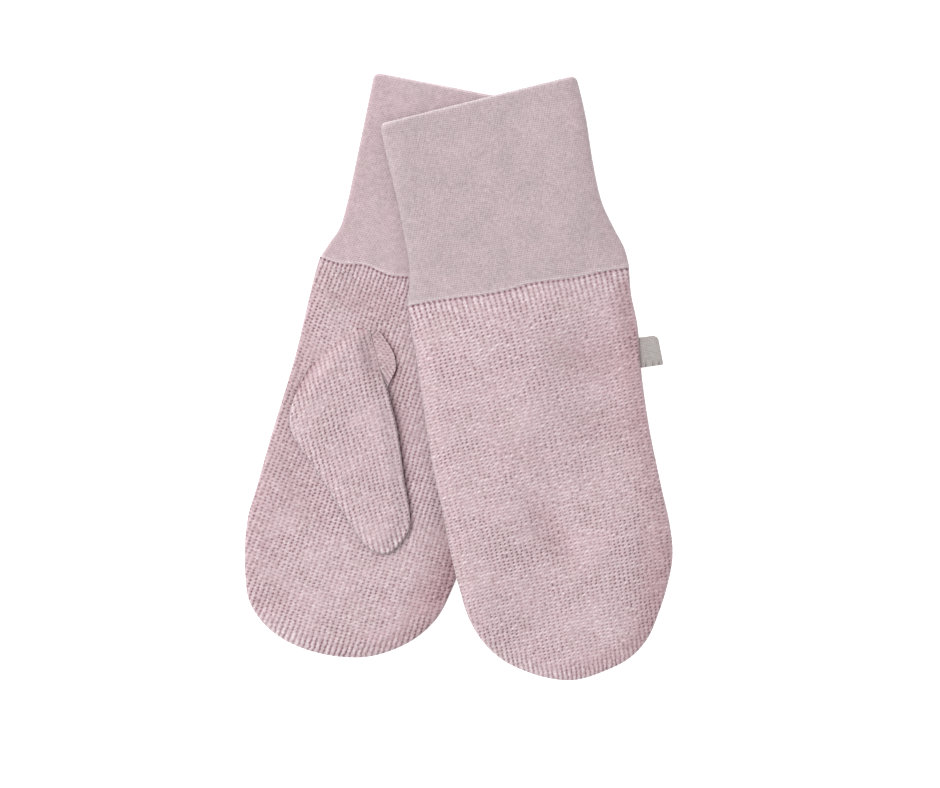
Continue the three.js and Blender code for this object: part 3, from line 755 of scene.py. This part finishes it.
def make_cuff(m, folds, tones_and_painted_sides):
    """A flattened ring of cloth, open at both ends: two outer and two inner faces, joined at the ends."""
    rows, base = m["cuff_rows"], m["hand_base"]
    long = rows[-1][0] - rows[0][0]
    outer, inner = CUFF_OUTER_ROWS, CUFF_INNER_ROWS
    few = CUFF_END_ROWS[:4]
    between = np.arange(outer["from"], long - outer["to_seam"], outer["apart"])
    outer_rows = np.concatenate([CUFF_END_ROWS, between, long - CUFF_END_ROWS[::-1]])
    between = np.linspace(inner["from"], long - inner["to_seam"], inner["count"])
    inner_rows = np.concatenate([few, between, long - few[::-1]])
    net = {"points": [], "heights": [], "u": [], "v": [], "tone_and_painted_light": [], "end": [], "cells": []}

    def add_face(stations, is_outer, way):
        """Adds the face that looks up or down, of the outer or the inner layer."""
        wall = 0 if is_outer else CUFF_WALL
        points, side = cuff_layer(rows, stations, wall)
        shape = points.shape[:2]
        flat = points.reshape(-1, 2)
        end = np.repeat(np.minimum(stations, long - stations), shape[1])
        to_seam = np.repeat(long - stations, shape[1])
        if is_outer:
            full = GAP / 2 + CUFF_WALL * quarter_round(end + END_START, SEAM_ROUND)
            half = full * quarter_round(side, CUFF_THICK / 2)
        else:
            half = GAP / 2 * quarter_round(side, GAP / 2)
        height = base(flat) + CUFF_THICK / 2 + way * half
        height = height - CUFF_SINK * (1 - ease((side + wall) / SINK_REACH))
        if is_outer and way > 0:
            bead = BEAD * near(to_seam - BEAD_MIDDLE, BEAD_WIDTH)
            height = height - fold_depth(folds, flat) * quarter_round(side, 2 * SIDE_ROUND)
            height = height + bead * quarter_round(side, CUFF_WALL)
        elif is_outer:
            height = np.maximum(height, base(flat))
        flat = move_to_wave(flat, m["wave"], to_seam)
        index = sum(len(part) for part in net["points"]) + np.arange(len(flat)).reshape(shape)
        quads = squares(index.T)
        x, at = flat[:, 0], -flat[:, 1]
        is_left = np.tile(np.arange(shape[1]) < CUFF_COLUMNS / 2, shape[0])
        # Painted light along the cuff's sides: shade where the tone is below 0, a highlight where it is over
        # 0
        painted_side_light = np.where(is_left, tones_and_painted_sides["left"], tones_and_painted_sides["right"]) * near(side, CUFF_SIDE_REACH)
        net["cells"].append(quads if is_outer == (way > 0) else quads[:, ::-1])
        net["points"].append(flat)
        net["heights"].append(height)
        u = x + CUFF_KNIT["slant"] * at + WAVER * waver(x, at, CUFF_PHASES[0])
        v = at + WAVER * waver(at, x, CUFF_PHASES[1])
        net["u"].append(u / CUFF_KNIT["wale"])
        net["v"].append(v / CUFF_KNIT["course"])
        net["tone_and_painted_light"].append(tones_and_painted_sides["all"] + painted_side_light)
        net["end"].append(end)
        return index

    outer_top = add_face(outer_rows, True, 1)
    outer_bottom = add_face(outer_rows, True, -1)
    inner_top = add_face(inner_rows, False, 1)
    inner_bottom = add_face(inner_rows, False, -1)
    edges = [
        (inner_top[0], outer_top[0]), (outer_bottom[0], inner_bottom[0]),
        (outer_top[-1], inner_top[-1]), (inner_bottom[-1], outer_bottom[-1]),
    ]
    for a, b in edges:
        net["cells"].append(np.stack([a[:-1], a[1:], b[1:], b[:-1]], axis=-1))
    points = np.vstack(net["points"])
    u, v, tone_and_painted_light, end = (np.concatenate(net[key]) for key in ("u", "v", "tone_and_painted_light", "end"))
    attributes = {
        "knit": (u, v, np.full(len(points), CUFF_KNIT["open"])),
        "looks": (np.zeros(len(points)), end, tone_and_painted_light),
        "blush": [np.full(len(points), tones_and_painted_sides["blush"])] * 3,
    }
    node = m["side"] + "_cuff"
    heights, cells = np.concatenate(net["heights"]), np.vstack(net["cells"])
    cloth = make_mesh(node + "_cloth", m["to_pair"](points), heights, cells, attributes)
    weld(cloth)
    dress(cloth, node, cuff_knit)


# Materials

class Graph:
    """The node tree of a material, with short calls to add nodes and link them."""

    def __init__(self, name):
        self.material = bpy.data.materials.new(name)
        self.material.use_nodes = True
        self.tree = self.material.node_tree
        self.tree.nodes.clear()

    def node(self, kind, inputs=(), **settings):
        """A new node, with values or links for its inputs."""
        made = self.tree.nodes.new(kind)
        for key, value in settings.items():
            setattr(made, key, value)
        for key, value in dict(inputs).items():
            self.put(made.inputs[key], value)
        return made

    def put(self, socket, value):
        """Links another node's output to an input, or sets the input's value."""
        if isinstance(value, bpy.types.NodeSocket):
            self.tree.links.new(value, socket)
        elif hasattr(value, "__len__") and len(value) == 3 and socket.type == "RGBA":
            socket.default_value = (*value, 1)
        else:
            socket.default_value = value

    def math(self, operation, *values, clamp=False):
        """A sum on numbers or on other nodes' outputs."""
        made = self.node("ShaderNodeMath", enumerate(values), operation=operation, use_clamp=clamp)
        return made.outputs[0]

    def plus(self, a, b, clamp=False):
        return self.math("ADD", a, b, clamp=clamp)

    def minus(self, a, b):
        return self.math("SUBTRACT", a, b)

    def times(self, first, *others, clamp=False):
        for other in others:
            first = self.math("MULTIPLY", first, other, clamp=clamp)
        return first

    def bell(self, distance, width):
        """A soft bump: 1 where the distance is 0, falling off over the width."""
        scaled = self.math("DIVIDE", distance, width)
        return self.math("EXPONENT", self.times(scaled, scaled, -1.0))

    def attribute(self, name):
        """The three numbers that a mesh's points hold under a name."""
        vector = self.node("ShaderNodeAttribute", attribute_name=name).outputs["Vector"]
        return self.node("ShaderNodeSeparateXYZ", {"Vector": vector}).outputs

    def patches(self, kind, size=1):
        """Uneven patches of a kind, with their range as many times as large as the size."""
        inputs = {key.capitalize(): kind[key] for key in ("scale", "detail", "roughness")}
        inputs["Vector"] = self.node("ShaderNodeTexCoord").outputs["Object"]
        noise = self.node("ShaderNodeTexNoise", inputs).outputs["Fac"]
        low, high = (size * end for end in kind["range"])
        from_low, from_high = kind["span"]
        inputs = {"Value": noise, "From Min": from_low, "From Max": from_high, "To Min": low, "To Max": high}
        return self.node("ShaderNodeMapRange", inputs, clamp=True).outputs["Result"]

    def mix(self, factor, a, b, kind="RGBA", blend="MIX"):
        """A colour, or a number, that goes from a to b as the factor goes from 0 to 1."""
        made = self.node("ShaderNodeMix", data_type=kind, blend_type=blend)
        at_a, at_b, at_result = (6, 7, 2) if kind == "RGBA" else (2, 3, 0)
        self.put(made.inputs[0], factor)
        self.put(made.inputs[at_a], a)
        self.put(made.inputs[at_b], b)
        return made.outputs[at_result]

    def finish(self, colour, height, bump, sheen):
        """The finished material, with a relief of up to the bump in mm."""
        lift = self.node("ShaderNodeBump", {"Strength": 1.0, "Distance": bump * MM, "Height": height})
        inputs = {
            "Base Color": colour,
            "Roughness": 0.9,
            "Specular IOR Level": 0.15,
            "Sheen Weight": sheen,
            "Sheen Roughness": 0.6,
            "Normal": lift.outputs["Normal"],
        }
        shader = self.node("ShaderNodeBsdfPrincipled", inputs)
        output = self.node("ShaderNodeOutputMaterial")
        self.tree.links.new(shader.outputs["BSDF"], output.inputs["Surface"])
        return self.material


def draw_holes(g, knit, u, v, strength, ribbed):
    """Painted shade in the slanted hole of each stitch, smaller where the columns stand out."""
    c, s = math.cos(math.radians(HOLE_SLANT)), math.sin(math.radians(HOLE_SLANT))
    du = g.times(u, knit["wale"])
    dv = g.times(v, knit["course"])
    along = g.minus(g.times(du, c), g.times(dv, s))
    across = g.plus(g.times(du, s), g.times(dv, c))
    long, wide = HOLE_SHARE[0] * knit["wale"], HOLE_SHARE[1] * knit["course"]
    hole = g.times(g.bell(along, long), g.bell(across, wide))
    closed = g.minus(1.0, g.times(ribbed, GROOVE["closes"]))
    return g.times(hole, strength, closed)


def draw_grooves(g, u, ribbed):
    """Painted shade in the grooves down the columns of stitches, in patches, where the columns stand out."""
    uneven = g.plus(g.patches(GROOVE_PATCHES), GROOVE["least"])
    return g.times(g.bell(u, GROOVE["wide"]), g.times(ribbed, uneven))


def draw_loops(g, u, v, ribbed, open_knit, uneven):
    """The loops of yarn between the holes, painted pale as highlights."""
    beside = g.minus(0.5, g.math("ABSOLUTE", u))
    beat = g.math("COSINE", g.times(g.plus(v, g.times(u, LOOP["lean"])), 2 * math.pi))
    beat = g.math("POWER", g.plus(g.times(beat, 0.5), 0.5), LOOP["soft"])
    beat = g.minus(1.0, g.times(beat, open_knit))
    on_column = g.plus(g.times(g.bell(u, LOOP["wide"]), 1 - LOOP["least"]), LOOP["least"])
    parted = g.times(ribbed, LOOP["parts"], clamp=True)
    loop = g.mix(parted, on_column, g.bell(beside, LOOP["beside"]), kind="FLOAT")
    return g.times(loop, beat, uneven)


def draw_rows(g, v, open_knit, uneven):
    """Painted shade in the thin dark lines between rows of stitches, stronger where the loops are weak."""
    return g.times(g.bell(v, ROW["wide"]), open_knit, g.minus(ROW["most"], uneven))


def draw_sewing(g, column, from_sewing):
    """A dark line of sewing with a dash for each column of stitches. Beside the thumb's fold it is painted
    shade in the crease.
    """
    line = g.bell(g.minus(from_sewing, SEWING["from"]), SEWING["wide"])
    dash = g.times(g.math("COSINE", g.times(column, 2 * math.pi)), SEWING["swing"])
    return g.times(line, g.plus(dash, SEWING["middle"]))


def tinted(g, bright, tone_and_painted_light):
    """A brightness for each channel of a colour, from the fibres, the tone and painted light, and the blush.
    """
    blush = g.node("ShaderNodeAttribute", attribute_name="blush").outputs["Fac"]
    channels = {}
    for channel, tone_share, blush_share in TINTS:
        value = g.plus(bright, g.times(tone_and_painted_light, tone_share))
        channels[channel] = g.plus(value, g.times(blush, blush_share))
    return g.node("ShaderNodeCombineColor", channels).outputs[0]


def knit_material(name, knit, yarn, holes, rows, grooves, loops, mottling, fuzz, seam, end_highlight):
    """Stockinette: columns of slanted holes that run together in grooves, painted with shade, with pale
    loops between them painted as highlights.
    """
    g = Graph(name)
    stitches, looks = g.attribute("knit"), g.attribute("looks")
    ribbed, from_sewing, tone_and_painted_light = looks["X"], looks["Y"], looks["Z"]
    u = g.minus(g.math("FRACT", stitches["X"]), 0.5)
    v = g.minus(g.math("FRACT", stitches["Y"]), 0.5)
    open_knit = g.minus(1.0, ribbed)
    uneven = g.patches(LOOP_PATCHES)

    hole = draw_holes(g, knit, u, v, stitches["Z"], ribbed)
    groove = draw_grooves(g, u, ribbed)
    row = draw_rows(g, v, open_knit, uneven)
    sewing = draw_sewing(g, stitches["X"], from_sewing)
    # Painted shade: in the holes, grooves and rows, and the dark line of sewing
    shade = g.plus(g.times(hole, holes), g.times(groove, grooves))
    shade = g.plus(shade, g.times(row, rows))
    shade = g.plus(shade, g.times(sewing, seam), clamp=True)
    loop = draw_loops(g, u, v, ribbed, open_knit, uneven)
    # Painted highlights: along a cuff's ends, and on the loops of yarn
    light = g.times(g.bell(from_sewing, END_HIGHLIGHT_REACH), end_highlight)
    light = g.plus(light, g.times(loop, loops), clamp=True)

    colour = g.mix(g.times(g.patches(MOTTLE), mottling), yarn["middle"], yarn["grey"])
    colour = g.mix(light, colour, yarn["pale"])
    colour = g.mix(shade, colour, yarn["deep"])
    fibres = g.patches(FIBRES, fuzz)
    bright = g.plus(g.plus(fibres, g.patches(WISPS, fuzz)), 1.0)
    colour = g.mix(1.0, colour, tinted(g, bright, tone_and_painted_light), blend="MULTIPLY")

    height = g.plus(g.times(fibres, FIBRE_HEIGHT), g.times(light, LOOP_HEIGHT))
    return g.finish(colour, g.minus(height, shade), KNIT_BUMP, sheen=0.25)


def floor_material():
    """A white surface with a very faint grain, which glows so that it stays white in the shade."""
    g = Graph("floor_white")
    grain = g.patches(FLOOR_GRAIN)
    colour = g.node("ShaderNodeCombineColor", {"Red": grain, "Green": grain, "Blue": grain}).outputs[0]
    material = g.finish(colour, grain, FLOOR_BUMP, sheen=0.0)
    shader = g.tree.nodes["Principled BSDF"]
    shader.inputs["Emission Color"].default_value = (1, 1, 1, 1)
    shader.inputs["Emission Strength"].default_value = FLOOR_GLOW
    return material


body_knit = knit_material(
    "body_knit", LEFT_KNIT, BODY_YARN,
    holes=0.84, rows=0.16, grooves=0.34, loops=0.9, mottling=0.4, fuzz=0.13, seam=0.9, end_highlight=0,
)
cuff_knit = knit_material(
    "cuff_knit", CUFF_KNIT, CUFF_YARN,
    holes=0.8, rows=0.1, grooves=0.1, loops=0.4, mottling=0.7, fuzz=0.13, seam=0, end_highlight=0.9,
)
label_weave = knit_material(
    "label_weave", LABEL_KNIT, LABEL_YARN,
    holes=0.7, rows=0.2, grooves=0.2, loops=0.5, mottling=0.2, fuzz=0.08, seam=0.9, end_highlight=0,
)


# The mittens

def dress(piece, node, material):
    """Gives a piece its material, and says what it replaces and how it is held."""
    piece.data.materials.append(material)
    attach(piece, "root")
    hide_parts(node)


def mitten(side, place, thumb_place, body, cuff_rows, wave, knit, palm_up, under):
    """A mitten's outlines and heights, in its own frame. It lies over the layers given as under."""
    def to_pair(points):
        return to_outer(place, points)

    def from_thumb(points):
        return to_outer(thumb_place, points)

    def ground(points):
        q = to_pair(points)
        return sum((lift_over(layer, q) for layer in under), np.zeros(len(points)))

    outer = outline_of(THUMB_OUTER, pointed=True)
    inner = outline_of(THUMB_INNER, pointed=True)

    def half(outline):
        drape = THUMB_DRAPE if palm_up else DRAPE
        return {"outline": from_thumb(outline), "height": THUMB_WALL + DRAPE_GAP, "drape": drape}

    lower_half, upper_half = (half(inner), half(outer)) if palm_up else (half(outer), half(inner))
    beneath_hand = [] if palm_up else [lower_half, upper_half]
    thumb_floor = PALM_TOP if palm_up else 0

    def hand_base(points):
        return ground(points) + sum((lift_over(layer, points) for layer in beneath_hand), 0)

    def thumb_base(is_upper):
        def base(points):
            q = from_thumb(points)
            lift = lift_over(lower_half, q) if is_upper else 0
            return ground(q) + thumb_floor + lift
        return base

    outline = outline_of(body, pointed=False)
    left = smooth_curve(section_ends(cuff_rows, -1), closed=False)[:-1]
    right = smooth_curve(section_ends(cuff_rows, 1), closed=False)[:-1]
    whole = to_pair(np.vstack([left, outline, right[::-1]]))
    return {
        "side": side, "palm_up": palm_up, "knit": knit, "wave": wave, "cuff_rows": cuff_rows,
        "to_pair": to_pair, "from_thumb": from_thumb, "hand_base": hand_base, "thumb_base": thumb_base,
        "outline": outline, "outer": outer, "inner": inner, "whole": whole,
    }


def thumb_opening():
    """The oval opening for a thumb, in the thumb's frame."""
    angles = np.linspace(0, 2 * np.pi, THUMB_HOLE["points"], endpoint=False)
    x, y = THUMB_HOLE["wide"] / 2 * np.cos(angles), THUMB_HOLE["long"] / 2 * np.sin(angles)
    oval = np.stack([x, y], axis=1)
    return to_outer({"x": THUMB_HOLE["x"], "y": -THUMB_HOLE["at"], "turn": THUMB_HOLE["turn"]}, oval)


def make_hand(m, is_upper, density, folds=(), sewn=None, lit_side_shade=NO_BAND):
    """The palm or the back of a mitten. The palm has the opening for the thumb."""
    is_palm = is_upper == m["palm_up"]
    node = m["side"] + ("_palm" if is_palm else "_back")
    outline = m["outline"]
    seam = np.array([outline[0], outline[-1]])
    under_cuff = seam + np.array([0, SEAM_TUCK])
    outline = np.vstack([under_cuff[0], outline, under_cuff[1]])

    def base(points):
        return m["hand_base"](points) + (BODY_WALL + GAP if is_upper else 0)

    hole = m["from_thumb"](thumb_opening()) if is_palm else None
    cloth = panel(
        node + "_cloth", m["to_pair"], outline, m["knit"], base, BODY_WALL, is_upper, density, HAND_SINK,
        hand_painted_shade(lit_side_shade), seam=seam, wave=m["wave"], sewn=sewn, folds=folds, hole=hole,
    )
    dress(cloth, node, body_knit)


def thumb_side(outline, low, high):
    """The part of a thumb's outline on its right side between two distances from its top."""
    right = outline[len(outline) // 2:]
    return right[(right[:, 1] < -low) & (right[:, 1] > -high)]


def make_thumb(m, half, density, sewn=None):
    """One half of a thumb, flat against the palm at its top and free of it below."""
    is_upper = (half == "outer") == m["palm_up"]
    knit = THUMB_KNIT if half == "outer" else GUSSET_KNIT
    node = f"{m['side']}_thumb_{half}"

    def place(points):
        return m["to_pair"](m["from_thumb"](points))

    def rise(points, from_side):
        free = ease((-points[:, 1] - THUMB_FREE) / THUMB_RISE)
        return free * quarter_round(from_side, THUMB_ROUND) + (1 - free) * ease(from_side / THUMB_BLEND)

    cloth = panel(
        node + "_cloth", place, m[half], knit, m["thumb_base"](is_upper), THUMB_WALL, is_upper, density,
        THUMB_SINK, thumb_painted_light, rise=rise, sewn=sewn,
    )
    dress(cloth, node, body_knit)


def make_label(m):
    """The blank woven label, a short tape folded at its outer end, that stands out from the side seam."""
    radius = LABEL_THICK / 2
    reach = LABEL["reach"] + LABEL["tucked"]
    leaf = np.linspace(0, reach - radius, LABEL_NET["leaf"])
    turn = np.linspace(math.pi / 2, -math.pi / 2, LABEL_NET["turn"])[1:-1]
    out = np.concatenate([leaf, reach - radius + radius * np.cos(turn), leaf[::-1]])
    apart = LABEL_LEAVES["root"] + (1 - LABEL_LEAVES["root"]) * ease(leaf / LABEL_LEAVES["open_at"])
    lift = np.concatenate([radius * apart, radius * np.sin(turn), -radius * apart[::-1]])
    out, down = np.meshgrid(out, np.linspace(0, 1, LABEL_NET["down"]), indexing="ij")
    share = out / reach
    x = LABEL["x"] - LABEL["tucked"] + out + LABEL["skew"] * down * (2 * share - 1)
    corner = np.clip((share - LABEL_CORNER["from"]) / (1 - LABEL_CORNER["from"]), 0, 1) ** 2
    corner = LABEL_CORNER["deep"] * corner * (1 - down) ** LABEL_CORNER["tight"]
    at = LABEL["from"] + (LABEL["to"] - LABEL["from"]) * down + corner
    middle = m["hand_base"](np.array([[LABEL["x"], -(LABEL["from"] + LABEL["to"]) / 2]]))[0]
    curl = LABEL_CURL["high"] * np.sin(LABEL_CURL["turn"] * down + LABEL_CURL["start"]) * share
    heights = middle + BODY_THICK / 2 - HAND_SINK + curl + lift[:, None]
    is_dash = x % LABEL_DASH["pitch"] < LABEL_DASH["long"]
    from_dash = np.where(is_dash, LABEL_DASH["closer"] * (LABEL["to"] - at), LABEL_DASH["gap"])

    x, at, out = x.ravel(), at.ravel(), out.ravel()
    strength = np.full(len(x), LABEL_KNIT["open"])
    # Painted shade where the label comes out of the seam
    root = band(LABEL_ROOT_SHADE, out - LABEL["tucked"])
    attributes = {
        "knit": (x / LABEL_KNIT["wale"], at / LABEL_KNIT["course"], strength),
        "looks": (np.zeros(len(x)), from_dash.ravel(), -root),
    }
    quads = squares(np.arange(len(x)).reshape(share.shape))[:, ::-1]
    flat = m["to_pair"](np.stack([x, -at], axis=1))
    tape = make_mesh("label_tape", flat, heights.ravel(), quads, attributes)
    dress(tape, "left_label", label_weave)


# The pieces of the pair, from the lowest up

right = mitten(
    "right", RIGHT_PLACE, RIGHT_THUMB_PLACE, RIGHT_BODY, RIGHT_CUFF, RIGHT_SEAM_WAVE, RIGHT_KNIT,
    palm_up=True, under=[],
)
beneath = {"outline": right["whole"], "height": BODY_THICK + DRAPE_GAP, "drape": DRAPE}
left = mitten(
    "left", LEFT_PLACE, LEFT_THUMB_PLACE, LEFT_BODY, LEFT_CUFF, LEFT_SEAM_WAVE, LEFT_KNIT,
    palm_up=False, under=[beneath],
)

label_corner = to_outer(LEFT_PLACE, np.array([[LABEL["x"] + LABEL["reach"] + LABEL["skew"], -LABEL["to"]]]))
everything = np.vstack([right["whole"], left["whole"], label_corner])
PAIR_SHIFT = -(everything.min(axis=0) + everything.max(axis=0)) / 2

thumb_fold = thumb_side(right["outer"], *THUMB_FOLD_SPAN)
gusset_seam = thumb_side(right["inner"], *GUSSET_SEAM_SPAN)
palm_sewing = right["from_thumb"](np.vstack([thumb_fold, gusset_seam]))
thumb_top = np.vstack([right["outer"][-THUMB_TOP_POINTS[0]:], right["outer"][:THUMB_TOP_POINTS[1]]])

make_hand(right, False, PLAIN)
make_hand(right, True, FINE, RIGHT_PALM_FOLDS, palm_sewing, RIGHT_LIT_SIDE_SHADE)
make_thumb(right, "inner", FINE)
make_thumb(right, "outer", FINE, thumb_top)
make_cuff(right, (), RIGHT_CUFF_TONES_AND_PAINTED_SIDES)
make_thumb(left, "outer", PLAIN, thumb_top)
make_thumb(left, "inner", PLAIN)
make_hand(left, False, PLAIN)
make_hand(left, True, FINE, LEFT_BACK_FOLDS)
make_cuff(left, LEFT_CUFF_FOLDS, LEFT_CUFF_TONES_AND_PAINTED_SIDES)
make_label(left)


# The floor, the light and the camera

def floor():
    """The white surface that the pair lies on."""
    half = FLOOR_HALF
    mesh = bpy.data.meshes.new("floor")
    corners = [(-half, -half, 0), (half, -half, 0), (half, half, 0), (-half, half, 0)]
    mesh.from_pydata(corners, [], [(0, 1, 2, 3)])
    piece = bpy.data.objects.new("floor", mesh)
    piece.location.z = -FLOOR_DROP
    piece.data.materials.append(floor_material())
    bpy.context.scene.collection.objects.link(piece)


def light():
    """Light from all round, and a wide soft light from the upper left."""
    world = bpy.data.worlds.new("studio")
    bpy.context.scene.world = world
    world.use_nodes = True
    background = world.node_tree.nodes["Background"]
    background.inputs["Color"].default_value = (1, 1, 1, 1)
    background.inputs["Strength"].default_value = ROUND_LIGHT
    lamp = bpy.data.lights.new("key", "SUN")
    lamp.energy = KEY_LIGHT["energy"]
    lamp.angle = math.radians(KEY_LIGHT["spread"])
    key = bpy.data.objects.new("key", lamp)
    key.rotation_euler = [math.radians(angle) for angle in KEY_LIGHT["turn"]]
    bpy.context.scene.collection.objects.link(key)


def camera():
    """A camera straight above, far enough away that the picture is nearly flat."""
    data = bpy.data.cameras.new("camera")
    data.sensor_width = SENSOR
    data.lens = SENSOR * CAMERA_HEIGHT / (PICTURE_WIDTH * PIXEL)
    data.clip_end = 20
    made = bpy.data.objects.new("camera", data)
    made.location = (PICTURE_MIDDLE[0] * MM, PICTURE_MIDDLE[1] * MM, CAMERA_HEIGHT * MM)
    bpy.context.scene.collection.objects.link(made)
    bpy.context.scene.camera = made


floor()
light()
camera()
bpy.context.scene.view_settings.view_transform = "Standard"
